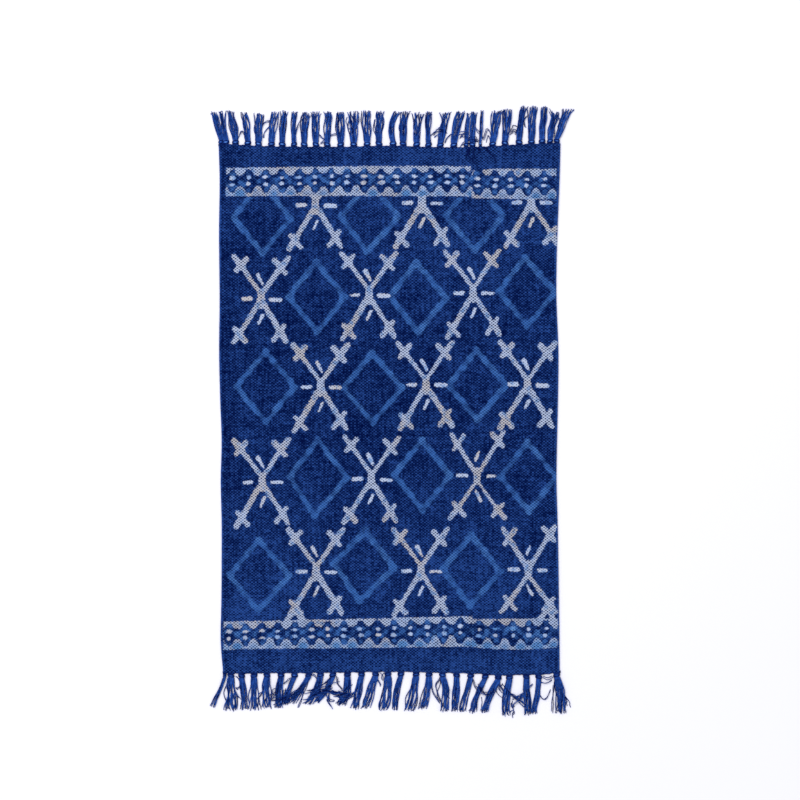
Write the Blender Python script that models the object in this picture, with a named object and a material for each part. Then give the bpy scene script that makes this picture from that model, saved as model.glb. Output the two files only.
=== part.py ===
"""Flatweave cotton rug: one flat woven cloth with knotted tassels on each short end.

The rug lies flat with its face up (+Z) and its length along +Y. The far short end is the head, the
near one the foot. The origin is under the middle of the whole rug, fringe included, on the floor.
Sizes are in metres; the tables are in millimetres.
"""

import random
from collections import namedtuple

import bmesh
import bpy
from mathutils import Vector

MM = 0.001

# Woven cloth
CLOTH_WIDTH = 600 * MM
CLOTH_LENGTH = 937 * MM
CLOTH_THICKNESS = 3 * MM
EDGE_ROUNDING = 0.9 * MM
SIDE_STEP = 20 * MM
END_STEP = 10 * MM

# Narrow strip of warp ends that holds the knots, parted from the cloth's edge
CLEARANCE = 0.3 * MM
STRIP_DEPTH = 2.0 * MM
STRIP_THICKNESS = 2.8 * MM

# Knot at the root of each tassel
ROOT_CELL = 1.5 * MM
KNOT_LENGTH = 5 * MM
KNOT_SWELL = 1.3
KNOT_HEIGHT = 4.6 * MM
NECK_HEIGHT = 3.4 * MM

# Strand of the fringe: a flat-bottomed lock of one or two yarns
STRAND_WIDTH = 2.1 * MM
STRAND_HEIGHT = 1.9 * MM
STRAND_GAP = 0.4 * MM
STRAND_SEGMENTS = 3
TIP_TAPER = 0.7
END_UNEVENNESS = 3 * MM

HEAD, FOOT = 1, -1

# How far the two long sides stray outwards (+) or inwards (-) from straight, by distance from the foot
SideDrift = namedtuple("SideDrift", "from_foot left right")
SIDES = [
    SideDrift(0, -6.2, 4.3),
    SideDrift(57, -1.8, 3.8),
    SideDrift(128, -3.0, 2.9),
    SideDrift(199, -3.5, 2.0),
    SideDrift(270, -3.5, 0.5),
    SideDrift(341, -1.8, -1.5),
    SideDrift(412, -3.5, -0.5),
    SideDrift(483, -1.0, 1.1),
    SideDrift(572, 1.0, 2.0),
    SideDrift(661, 0.0, -1.5),
    SideDrift(720, 0.6, -1.5),
    SideDrift(785, 1.2, 0.2),
    SideDrift(874, 0.0, 3.8),
    SideDrift(937, 1.8, 5.5),
]

# How far the two short ends stray outwards (+) or inwards (-), by distance across from the middle
EndDrift = namedtuple("EndDrift", "across head foot")
ENDS = [
    EndDrift(-302, 2.3, -0.5),
    EndDrift(-260, 1.6, 0.6),
    EndDrift(-229, -0.7, 0.0),
    EndDrift(-158, -1.8, -0.5),
    EndDrift(-69, -1.8, -1.5),
    EndDrift(4, 0.0, -2.7),
    EndDrift(73, -2.5, -1.4),
    EndDrift(117, -2.8, -0.4),
    EndDrift(162, -1.8, 1.2),
    EndDrift(197, 0.0, 4.0),
    EndDrift(233, 2.1, 3.0),
    EndDrift(277, 4.1, 2.0),
    EndDrift(304, 4.6, -1.6),
]

# One row for each tassel: where its knot sits across the rug, where its tip lies, how far its middle
# bows to the right (+), how wide its tip spreads, how long it is, and its strands
Tassel = namedtuple("Tassel", "root tip bow spread length strands")
HEAD_TASSELS = [
    Tassel(-298, -312, -1, 6, 55, 3),
    Tassel(-289, -299, -1, 14, 56, 6),
    Tassel(-272, -282, 1, 13, 57, 5),
    Tassel(-250, -255, 0, 12, 55, 5),
    Tassel(-231, -229, -1, 15, 55, 5),
    Tassel(-208, -202, -1, 14, 59, 5),
    Tassel(-189, -185, -1, 10, 60, 4),
    Tassel(-168, -167, -1, 9, 59, 4),
    Tassel(-150, -148, 0, 13, 58, 5),
    Tassel(-129, -129, -1, 14, 59, 5),
    Tassel(-109, -107, 0, 12, 60, 5),
    Tassel(-85, -86, 0, 15, 59, 5),
    Tassel(-62, -63, 0, 18, 60, 6),
    Tassel(-38, -38, -1, 16, 60, 5),
    Tassel(-17, -16, 0, 14, 59, 5),
    Tassel(8, 14, -5, 9, 58, 4),
    Tassel(26, 29, -1, 15, 59, 5),
    Tassel(50, 53, -1, 14, 58, 5),
    Tassel(71, 72, -1, 9, 60, 4),
    Tassel(92, 101, 1, 14, 60, 5),
    Tassel(116, 127, -1, 16, 61, 6),
    Tassel(138, 142, -1, 6, 59, 3),
    Tassel(149, 152, -1, 9, 60, 4),
    Tassel(163, 166, 0, 5, 62, 2),
    Tassel(185, 192, 1, 15, 61, 5),
    Tassel(207, 212, 0, 13, 61, 5),
    Tassel(232, 240, -1, 11, 65, 4),
    Tassel(254, 258, -1, 15, 64, 5),
    Tassel(273, 279, -2, 11, 62, 4),
    Tassel(287, 296, -1, 12, 54, 4),
    Tassel(299, 320, 0, 14, 57, 4),
]
FOOT_TASSELS = [
    Tassel(-291, -312, 1, 7, 58, 3),
    Tassel(-280, -279, -1, 22, 63, 7),
    Tassel(-261, -257, 1, 10, 61, 4),
    Tassel(-239, -240, 0, 16, 63, 5),
    Tassel(-216, -215, -2, 16, 60, 5),
    Tassel(-191, -196, -1, 12, 59, 5),
    Tassel(-167, -184, -1, 8, 54, 4),
    Tassel(-142, -172, 1, 12, 52, 5),
    Tassel(-121, -142, 3, 12, 54, 5),
    Tassel(-99, -127, 3, 10, 51, 4),
    Tassel(-73, -83, 3, 15, 56, 5),
    Tassel(-48, -59, -1, 12, 63, 5),
    Tassel(-23, -41, 0, 15, 62, 5),
    Tassel(-1, -9, 2, 20, 66, 6),
    Tassel(22, 11, -2, 10, 65, 4),
    Tassel(49, 36, 1, 18, 66, 6),
    Tassel(72, 60, 2, 14, 62, 5),
    Tassel(96, 100, 4, 14, 66, 5),
    Tassel(121, 117, 1, 11, 65, 4),
    Tassel(146, 130, 0, 11, 65, 4),
    Tassel(172, 150, -3, 10, 66, 4),
    Tassel(195, 171, -2, 12, 63, 5),
    Tassel(215, 208, -2, 14, 69, 5),
    Tassel(245, 246, 0, 12, 68, 5),
    Tassel(267, 259, 1, 9, 67, 4),
    Tassel(294, 304, 2, 26, 69, 8),
]

COTTON_INDIGO = (0.010, 0.024, 0.115, 1.0)
YARN_INDIGO = (0.014, 0.045, 0.205, 1.0)
COTTON_ROUGHNESS = 0.92


def clear_scene():
    for obj in list(bpy.data.objects):
        bpy.data.objects.remove(obj, do_unlink=True)


def cotton(name, colour):
    """Matt dyed cotton."""
    material = bpy.data.materials.new(name)
    material.use_nodes = True
    shader = material.node_tree.nodes["Principled BSDF"]
    shader.inputs["Base Color"].default_value = colour
    shader.inputs["Roughness"].default_value = COTTON_ROUGHNESS
    shader.inputs["Metallic"].default_value = 0.0
    return material


def smooth_between(rows, place, column, at):
    """The column's value at a place, on a smooth curve through the rows. Both are in millimetres."""
    places = [getattr(row, place) for row in rows]
    values = [getattr(row, column) for row in rows]
    at = min(max(at, places[0]), places[-1])
    k = next(i for i in range(1, len(rows)) if at <= places[i])
    before, after = max(k - 2, 0), min(k + 1, len(rows) - 1)
    span = places[k] - places[k - 1]
    slope_in = (values[k] - values[before]) / (places[k] - places[before]) * span
    slope_out = (values[after] - values[k - 1]) / (places[after] - places[k - 1]) * span
    t = (at - places[k - 1]) / span
    return (
        (2 * t**3 - 3 * t**2 + 1) * values[k - 1]
        + (t**3 - 2 * t**2 + t) * slope_in
        + (3 * t**2 - 2 * t**3) * values[k]
        + (t**3 - t**2) * slope_out
    )


def side_x(side, y):
    """Where the long side lies at this y. The side is 'left' or 'right'."""
    from_foot = (y + CLOTH_LENGTH / 2) / MM
    half = CLOTH_WIDTH / 2 + smooth_between(SIDES, "from_foot", side, from_foot) * MM
    return -half if side == "left" else half


def end_y(end, x):
    """Where the short end's edge lies at this x."""
    column = "head" if end == HEAD else "foot"
    return end * (CLOTH_LENGTH / 2 + smooth_between(ENDS, "across", column, x / MM) * MM)


def evenly(start, stop, step):
    """Values from start to stop, both included, no further than step apart."""
    count = max(1, round(abs(stop - start) / step))
    return [start + (stop - start) * i / count for i in range(count + 1)]


def cloth_outline():
    """The woven edge, anticlockwise from the foot's left corner."""
    half_length = CLOTH_LENGTH / 2
    left_foot, right_foot = side_x("left", -half_length), side_x("right", -half_length)
    left_head, right_head = side_x("left", half_length), side_x("right", half_length)
    points = [(x, end_y(FOOT, x)) for x in evenly(left_foot, right_foot, END_STEP)]
    points += [(side_x("right", y), y) for y in evenly(-half_length, half_length, SIDE_STEP)[1:-1]]
    points += [(x, end_y(HEAD, x)) for x in evenly(right_head, left_head, END_STEP)]
    points += [(side_x("left", y), y) for y in evenly(half_length, -half_length, SIDE_STEP)[1:-1]]
    return points


def add_object(name, bm, material):
    mesh = bpy.data.meshes.new(name)
    bmesh.ops.recalc_face_normals(bm, faces=bm.faces)
    bm.to_mesh(mesh)
    bm.free()
    mesh.materials.append(material)
    obj = bpy.data.objects.new(name, mesh)
    bpy.context.scene.collection.objects.link(obj)
    return obj


def make_cloth():
    """One flat sheet with uneven edges, rounded where the yarns turn."""
    bm = bmesh.new()
    outline = [bm.verts.new((x, y, 0)) for x, y in cloth_outline()]
    underside = bm.faces.new(outline)
    lifted = bmesh.ops.extrude_face_region(bm, geom=[underside], use_keep_orig=True)["geom"]
    top = [v for v in lifted if isinstance(v, bmesh.types.BMVert)]
    bmesh.ops.translate(bm, vec=(0, 0, CLOTH_THICKNESS), verts=top)
    rims = [e for e in bm.edges if abs(e.verts[0].co.z - e.verts[1].co.z) < MM * 0.01]
    bmesh.ops.bevel(
        bm, geom=rims, offset=EDGE_ROUNDING, segments=1, profile=0.5, affect="EDGES", material=-1
    )
    return add_object("cloth", bm, cotton("printed_cotton", COTTON_INDIGO))


def strip_cells(end, tassels):
    """Borders of the strip's outer wall from left to right, and the tassel that each stretch roots."""
    borders = [side_x("left", end * CLOTH_LENGTH / 2)]
    owners = []
    for tassel in tassels:
        left = tassel.root * MM - tassel.strands * ROOT_CELL / 2
        borders.append(left)
        owners.append(None)
        for i in range(tassel.strands):
            borders.append(left + (i + 1) * ROOT_CELL)
            owners.append(tassel)
    borders.append(side_x("right", end * CLOTH_LENGTH / 2))
    owners.append(None)
    return borders, owners


def make_strip(bm, end, borders):
    """A low bar along the cloth's edge. Returns the faces of its outer wall from left to right."""
    inner = [bm.verts.new((x, end_y(end, x) + end * CLEARANCE, 0)) for x in borders]
    line = [bm.edges.new(pair) for pair in zip(inner, inner[1:])]
    outer = bmesh.ops.extrude_edge_only(bm, edges=line)["geom"]
    outer = [v for v in outer if isinstance(v, bmesh.types.BMVert)]
    bmesh.ops.translate(bm, vec=(0, end * STRIP_DEPTH, 0), verts=outer)
    floor = list(bm.faces)
    raised = bmesh.ops.extrude_face_region(bm, geom=floor, use_keep_orig=True)["geom"]
    raised = [v for v in raised if isinstance(v, bmesh.types.BMVert)]
    bmesh.ops.translate(bm, vec=(0, 0, STRIP_THICKNESS), verts=raised)
    foot_of_wall = set(outer)
    wall = [f for f in bm.faces if abs(f.normal.z) < 0.5 and len(foot_of_wall & set(f.verts)) == 2]
    return sorted(wall, key=lambda f: f.calc_center_median().x)


def new_faces_of(result):
    return [g for g in result["geom"] if isinstance(g, bmesh.types.BMFace)]


def make_knot(bm, end, tassel, cells):
    """Swells the tassel's wall cells into a knot and draws it in again. Returns the cells at its neck."""
    middle = tassel.root * MM
    wall_y = sum(f.calc_center_median().y for f in cells) / len(cells)
    rings = [(0.5, KNOT_SWELL, KNOT_HEIGHT), (1.0, 1.0, NECK_HEIGHT)]
    for share, width, height in rings:
        drawn = new_faces_of(bmesh.ops.extrude_face_region(bm, geom=cells))
        bmesh.ops.delete(bm, geom=cells, context="FACES_ONLY")
        cells = sorted(drawn, key=lambda f: f.calc_center_median().x)
        corners = {v for f in cells for v in f.verts}
        half = tassel.strands * ROOT_CELL / 2
        places = {v: (v.co.x - middle) for v in corners}
        widest = max(abs(p) for p in places.values())
        for v in corners:
            v.co.x = middle + places[v] / widest * half * width
            v.co.y = wall_y + end * KNOT_LENGTH * share
            v.co.z = height if v.co.z > MM else 0
    return cells, wall_y + end * KNOT_LENGTH


def strand_centre(tassel, end, neck_y, place, length, t):
    """The strand's middle at share t of its length. Its place in the tassel runs from -1 to 1."""
    neck_half = tassel.strands * ROOT_CELL / 2
    share_across = place * (tassel.strands - 1) / tassel.strands
    half = neck_half + (tassel.spread * MM / 2 - neck_half) * t
    bow = tassel.bow * MM * 4 * t * (1 - t)
    x = tassel.root * MM + (tassel.tip - tassel.root) * MM * t + bow + share_across * half
    return Vector((x, neck_y + end * length * t))


def strand_width(tassel, t):
    """As wide as its place in the tassel lets it be, with a gap to the next strand."""
    neck = tassel.strands * ROOT_CELL
    room = (neck + (tassel.spread * MM - neck) * t) / tassel.strands - STRAND_GAP
    taper = 1 - (1 - TIP_TAPER) * t**3
    return min(STRAND_WIDTH, room) * taper


def make_strand(bm, end, tassel, cell, neck_y, place, length):
    """Draws one wall cell out into a strand that lies level on the floor."""
    side = Vector((1, 0))
    face = cell
    for step in range(1, STRAND_SEGMENTS + 1):
        t = step / STRAND_SEGMENTS
        middle = face.calc_center_median()
        face = bmesh.ops.extrude_discrete_faces(bm, faces=[face])["faces"][0]
        here = strand_centre(tassel, end, neck_y, place, length, t)
        before = strand_centre(tassel, end, neck_y, place, length, t - 0.05)
        along = (here - before).normalized()
        across = Vector((along.y, -along.x)) * end
        height = STRAND_HEIGHT * (1 - (1 - TIP_TAPER) * t**3)
        for v in face.verts:
            right = 1 if (v.co.xy - middle.xy).dot(side) > 0 else -1
            spot = here + across * right * strand_width(tassel, t) / 2
            v.co = (spot.x, spot.y, height if v.co.z > middle.z else 0)
        side = across


def make_fringe(name, end, tassels, seed):
    """The strip of warp ends with its knots and strands, all one solid."""
    chance = random.Random(seed)
    bm = bmesh.new()
    borders, owners = strip_cells(end, tassels)
    wall = make_strip(bm, end, borders)
    cells_of = {t: [f for f, owner in zip(wall, owners) if owner is t] for t in tassels}
    for tassel, cells in cells_of.items():
        cells, neck_y = make_knot(bm, end, tassel, cells)
        for i, cell in enumerate(cells):
            place = (2 * i / (tassel.strands - 1)) - 1
            length = tassel.length * MM - KNOT_LENGTH - chance.random() * END_UNEVENNESS
            make_strand(bm, end, tassel, cell, neck_y, place, length)
    return add_object(name, bm, cotton(name + "_yarn", YARN_INDIGO))


def centre_on_origin(objects):
    """Moves the pieces together so that the middle of their common outline is at the origin."""
    corners = [v.co for obj in objects for v in obj.data.vertices]
    middle_x = (min(c.x for c in corners) + max(c.x for c in corners)) / 2
    middle_y = (min(c.y for c in corners) + max(c.y for c in corners)) / 2
    for obj in objects:
        for v in obj.data.vertices:
            v.co.x -= middle_x
            v.co.y -= middle_y


def main():
    clear_scene()
    cloth = make_cloth()
    head = make_fringe("head_fringe", HEAD, HEAD_TASSELS, seed=3)
    foot = make_fringe("foot_fringe", FOOT, FOOT_TASSELS, seed=5)
    centre_on_origin([cloth, head, foot])


main()
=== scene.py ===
"""Looks of a small flatweave cotton rug with a block-printed face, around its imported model.

The cloth becomes a fine sheet that carries the print as attributes, and each fringe becomes single
yarns with their knots. Everything is in metres in the model's own frame: +X across the rug, +Y from
the foot to the head, +Z up out of the face. The tables are in millimetres.
"""

import math
import random
from collections import namedtuple
from functools import partial

import bmesh
import bpy
import numpy as np
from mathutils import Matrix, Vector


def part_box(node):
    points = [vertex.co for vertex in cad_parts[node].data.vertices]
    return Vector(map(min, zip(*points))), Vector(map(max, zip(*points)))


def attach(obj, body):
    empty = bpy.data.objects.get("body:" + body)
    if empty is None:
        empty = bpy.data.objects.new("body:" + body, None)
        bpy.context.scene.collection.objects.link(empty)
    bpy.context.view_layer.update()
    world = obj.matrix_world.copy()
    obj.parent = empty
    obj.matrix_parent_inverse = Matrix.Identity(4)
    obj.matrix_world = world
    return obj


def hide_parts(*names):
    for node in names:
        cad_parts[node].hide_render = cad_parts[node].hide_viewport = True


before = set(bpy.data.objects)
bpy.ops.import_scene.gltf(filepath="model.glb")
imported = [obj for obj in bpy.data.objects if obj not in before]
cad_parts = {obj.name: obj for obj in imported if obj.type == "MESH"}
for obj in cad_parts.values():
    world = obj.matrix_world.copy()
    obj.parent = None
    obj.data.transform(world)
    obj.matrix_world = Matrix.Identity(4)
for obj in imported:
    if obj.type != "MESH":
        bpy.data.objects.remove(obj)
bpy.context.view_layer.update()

bl_info = {
    "name": "Block-printed flatweave rug",
    "version": (1, 0, 0),
    "blender": (4, 5, 0),
    "location": "3D View > Sidebar > Rug",
    "description": "Builds a small cotton flatweave with a printed face and knotted tassels",
    "category": "Object",
}

MM = 0.001
HEAD, FOOT = 1, -1
# What the cloth measures from selvedge to selvedge and from end to end
FLAT_SIZE = (0.600, 0.937)


def linear(hex_colour):
    """A linear RGBA colour from an sRGB hex value."""
    channels = [int(hex_colour[i : i + 2], 16) / 255 for i in (1, 3, 5)]
    bent = [c / 12.92 if c <= 0.04045 else ((c + 0.055) / 1.055) ** 2.4 for c in channels]
    return (*bent, 1.0)


# One printed line of the star block, from its middle: both ends, and how wide it is at each
Stroke = namedtuple("Stroke", "x1 y1 x2 y2 wide1 wide2")
STAR_ARMS = [Stroke(*row) for row in (
    (0, 11, 0, -9, 12, 16),
    (-4, 15, -36, 59, 8, 9),
    (5, 15, 34, 58, 8, 9),
    (-6, -10, -36, -60, 10, 9),
    (6, -10, 35, -56, 10, 9),
    (-35, 57, -49, 75, 13, 9.5),
    (33, 56, 48, 75, 13, 9.5),
    (-35, -57, -47, -77, 13, 9.5),
    (34, -53, 45, -73, 13, 9.5),
    (-28, 71, -45, 51, 10, 9),
    (23, 70, 42, 48, 10, 9),
    (-45, -53, -27, -74, 9, 10),
    (42, -46, 24, -71, 9, 10),
)]
STAR_TICKS = [Stroke(*row) for row in (
    (-32, 0.5, -19, 1, 6.5, 8),
    (18, 0, 35, -0.5, 7.5, 6.5),
    (-6.5, 44, 2.5, 27, 8, 5),
    (3, -28, -3.5, -42, 6.5, 5),
)]

# Where the star block was put down: its middle, how far it was turned in degrees, and its ink
Stamp = namedtuple("Stamp", "x y turn ink")
STAR_STAMPS = [Stamp(*row) for row in (
    (-135, 365, 0, 1.0),
    (54, 369, 0, 1.0),
    (248, 370, 1, 1.0),
    (-232, 198, -1, 1.0),
    (-40, 205, 0, 1.0),
    (145, 209, 1, 0.9),
    (-126, 42, 0, 1.0),
    (61, 46, 1, 1.0),
    (241, 46, -1, 1.1),
    (-230, -127, 1, 1.0),
    (-36, -122, -1, 0.9),
    (152, -115, 180, 0.8),
    (-134, -286, 0, 1.0),
    (52, -285, 0, 0.9),
    (243, -282, 180, 0.9),
)]

# Two stars whose lowest strokes ran on into the foot border
RUN_ON = [Stroke(*row) for row in (
    (-171, -354, -187, -373, 8, 9),
    (-171, -356, -153, -375, 9, 9),
    (284, -345, 264, -369, 9, 9),
    (281, -352, 291, -381, 9, 11),
)]

# The trellis's open diamonds: middle, half width and height, how far the upper and lower corners
# lean right, how far the left corner rides up, and the ink
Diamond = namedtuple("Diamond", "x y half_width half_height top_lean foot_lean tilt ink")
DIAMONDS = [Diamond(*row) for row in (
    (-230, 343, 51, 62, -1, 1, 0, 0.9),
    (-39, 345, 51, 62, -1, -4, 0, 1.0),
    (147, 347, 51, 62, -1, 1, 0, 0.9),
    (-133, 203, 50, 62, -1, 1, 0, 0.9),
    (47, 202, 50, 62, -3, 0, 1, 1.0),
    (241, 212, 50, 61, -4, 0, 1, 1.0),
    (-224, 43, 52, 62, 0, 1, 0, 0.8),
    (-34, 41, 52, 62, 0, 1, 0, 1.0),
    (152, 46, 51, 62, -1, 1, 0, 1.1),
    (-130, -118, 51, 67, -1, -7, 1, 0.9),
    (54, -114, 50, 62, 0, 1, 1, 1.0),
    (243, -117, 50, 61, -1, 1, 0, 1.0),
    (-235, -292, 53, 63, -1, -2, 0, 0.8),
    (-49, -275, 53, 63, 2, -8, 4, 1.1),
    (142, -283, 51, 63, -1, -3, 2, 1.1),
)]
DIAMOND_LINE = 9.5

# One run of the border print, put down as one long block: its ends, the height of its upper line at
# each end and how far it bows up, the same for its lower line, the place of a motif, and how blue
# its paste turned
BorderRun = namedtuple("BorderRun", "x1 x2 top1 top2 top_bow low1 low2 low_bow motif blue")
BORDER_RUNS = [BorderRun(*row) for row in (
    (-294, 142, 431.5, 435, 1.5, 382, 381.5, 0.5, -268, 0.42),
    (142, 292, 430, 430, 0, 378.5, 377, -0.5, 168.5, 0.45),
    (-298.5, 143, -374.5, -364.5, 0, -423.5, -418.5, 0, -274, 0.5),
    (143, 295.5, -369.5, -368.5, 0, -419.5, -419.5, -4, 171, 0.75),
)]
# From one motif to the next, and how wide the lines along both edges are
MOTIF_PITCH = 29.3
EDGE_LINE = 3.4
# Rounded teeth hang from the upper line, as deep as this and blunter the nearer this is to 0
TOOTH_HALF, TOOTH_DEPTH, TOOTH_BLUNTNESS = 10.5, 14, 0.42
# Hills stand on the lower line, with valleys between them
SCALLOP = 18.5
VALLEY = 5
# A height over a slanted edge times this is about the distance to the edge
SLOPE = 0.7
# Two dots between each pair of motifs: half width and height, and depths below the upper line
DOT = (4.7, 3.2)
DOT_DEPTHS = (18, 29.5)
# Pale blue blots between the dark links of the border's chain: place in the motif, depth and size
BLOTS = [
    (0, 24, 5.5),
    (-8.5, 17.5, 3.6),
    (8.5, 18, 3.4),
    (-8, 31.5, 3.4),
    (8.5, 30.5, 3.8),
    (MOTIF_PITCH / 2, 8.5, 4.6),
    (MOTIF_PITCH / 2, 39.5, 4.6),
]
# Held at this distance from its edge, a blot takes only part of the middle blue
BLOT_INK = -1.0
# How many blots the block missed
BLOTS_MISSED = 0.12
# A distance that stands for no print near, and how much of a distance the cloth keeps
FAR = 99.0
KEPT_DISTANCE = 9.0

# Soft patches that came out of the dye lighter (+) or darker (-): middle, reach each way, strength
DyePatch = namedtuple("DyePatch", "x y reach_x reach_y strength")
DYE_PATCHES = [DyePatch(*row) for row in (
    (0, 406, 420, 20, -0.8),
    (0, -395, 420, 20, -0.8),
    (0, 5, 420, 330, -1.1),
    (-290, 60, 26, 420, -0.5),
    (-200, 452, 120, 16, -0.6),
    (110, 446, 160, 22, 0.5),
    (-255, -340, 60, 50, 0.8),
    (-220, -200, 60, 60, 0.6),
    (0, -448, 300, 24, 0.45),
    (80, 260, 120, 50, 0.4),
    (200, 100, 90, 60, 0.3),
    (-60, 110, 120, 40, 0.3),
    (60, -200, 140, 40, 0.3),
    (-40, -30, 60, 120, -0.2),
    (-300, -320, 20, 120, -0.7),
    (-240, 325, 80, 60, -0.9),
    (-180, 130, 100, 110, -0.5),
    (245, 215, 70, 60, -0.4),
    (141, -283, 75, 60, 0.7),
)]

# One row for each tassel: where its knot sits across the rug, where its tip lies, how far its
# middle bows to the right (+), how wide its tip spreads, how long it is, and its yarns
Tassel = namedtuple("Tassel", "root tip bow spread length yarns")
HEAD_TASSELS = [Tassel(*row) for row in (
    (-298, -312, -1, 6, 55, 5),
    (-289, -299, -1, 14, 56, 9),
    (-272, -282, 1, 13, 57, 8),
    (-250, -255, 0, 12, 55, 8),
    (-231, -229, -1, 15, 55, 9),
    (-208, -202, -1, 14, 59, 9),
    (-189, -185, -1, 10, 60, 8),
    (-168, -167, -1, 9, 59, 7),
    (-150, -148, 0, 13, 58, 8),
    (-129, -129, -1, 14, 59, 8),
    (-109, -107, 0, 12, 60, 8),
    (-85, -86, 0, 15, 59, 9),
    (-62, -63, 0, 18, 60, 9),
    (-38, -38, -1, 16, 60, 9),
    (-17, -16, 0, 14, 59, 8),
    (8, 14, -5, 9, 58, 8),
    (26, 29, -1, 15, 59, 9),
    (50, 53, -1, 14, 58, 9),
    (71, 72, -1, 9, 60, 8),
    (92, 101, 1, 14, 60, 8),
    (116, 127, -1, 16, 61, 9),
    (138, 142, -1, 6, 59, 5),
    (149, 152, -1, 9, 60, 7),
    (163, 166, 0, 5, 62, 3),
    (185, 192, 1, 15, 61, 9),
    (207, 212, 0, 13, 61, 9),
    (232, 240, -1, 11, 65, 8),
    (254, 258, -1, 15, 64, 9),
    (273, 279, -2, 11, 62, 8),
    (287, 296, -1, 12, 54, 7),
    (299, 320, 0, 14, 57, 7),
)]
FOOT_TASSELS = [Tassel(*row) for row in (
    (-291, -312, 1, 7, 58, 4),
    (-280, -279, -1, 22, 63, 12),
    (-261, -257, 1, 10, 61, 8),
    (-239, -240, 0, 16, 63, 9),
    (-216, -215, -2, 16, 60, 9),
    (-191, -196, -1, 12, 59, 9),
    (-167, -184, -1, 8, 54, 8),
    (-142, -172, 1, 12, 52, 9),
    (-121, -142, 3, 12, 54, 9),
    (-99, -127, 3, 10, 51, 8),
    (-73, -83, 3, 15, 56, 9),
    (-48, -59, -1, 12, 63, 9),
    (-23, -41, 0, 15, 62, 9),
    (-1, -9, 2, 20, 66, 10),
    (22, 11, -2, 10, 65, 8),
    (49, 36, 1, 18, 66, 10),
    (72, 60, 2, 14, 62, 9),
    (96, 100, 4, 14, 66, 9),
    (121, 117, 1, 11, 65, 8),
    (146, 130, 0, 11, 65, 8),
    (172, 150, -3, 10, 66, 8),
    (195, 171, -2, 12, 63, 9),
    (215, 208, -2, 14, 69, 9),
    (245, 246, 0, 12, 68, 9),
    (267, 259, 1, 9, 67, 8),
    (299, 306, 3, 17, 69, 12),
)]
# The middle of the tables' across measure, which runs along the loom and not from the rug's middle
TASSEL_SHIFT = -5.5

# Yarns that lie apart from the tassels: both ends as places across the rug and distances out from
# the cloth's edge, how many run side by side, how high the middle rides, how far it arches out and
# sways to the right, and how many loops it makes
Stray = namedtuple("Stray", "x1 out1 x2 out2 yarns height arch sway loops", defaults=(0, 0, 0))
HEAD_STRAYS = [Stray(*row) for row in (
    (-273, 11, -258, 12, 2, 3, 13),
    (-266, 57, -262, 26, 1, 1, 0, 2),
    (-230, 30, -214, 44, 2, 3, 5, -3),
    (-228, 14, -216, 36, 2, 2, 0, -4),
    (-172, 18, -143, 54, 2, 3, 8, -6),
    (-138, 46, -133, 28, 1, 1, 0, 2),
    (-129, 22, -118, 7, 2, 2, 0, 2),
    (-126, 6, -115, 12, 2, 3, 2, 2),
    (-108, 20, -93, 20, 2, 3, 3),
    (-79, 54, -75, 28, 1, 2, 0, -4),
    (-30, 50, -22, 7, 2, 1, 0, -5),
    (71, 20, 95, 27, 3, 3, 7),
    (76, 18, 92, 25, 2, 2, 2),
    (95, 8, 113, 28, 2, 2, 2, -3),
    (122, 16, 139, 16, 2, 3, 9),
    (136, 6, 151, 8, 2, 3, 3, 0, 2),
    (126, 4, 150, 10, 3, 4, 4),
    (120, 22, 147, 9, 3, 4, 6),
    (148, 38, 164, 14, 2, 2, 0, -2),
    (130, 30, 142, 6, 1, 2, 2, 3),
    (163, 12, 179, 9, 2, 3, 19),
    (168, 7, 175, 7, 1, 2, 12),
    (186, 56, 190, 30, 1, 1, 0, -4),
    (211, 20, 226, 20, 3, 3, 10),
    (240, 50, 237, 28, 2, 2, 0, -4),
    (280, 60, 286, 10, 2, 3, 0, 5),
    (296, 50, 281, 9, 2, 2, 0, -5),
    (284, 54, 302, 22, 2, 3, 4, 6),
    (304, 60, 296, 30, 2, 2, 0, 2),
    (133, -2, 146, -30, 1, 4.6, 0, -3),
    (164, -2, 186, -27, 1, 4.6, 0, 3),
    (147, -1, 149, -20, 1, 4.6, 0, -2),
    (137, -1, 133, -14, 2, 4.6, 0, 2),
    (153, -1, 157, -11, 1, 4.6, 0, 2),
)]
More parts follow.
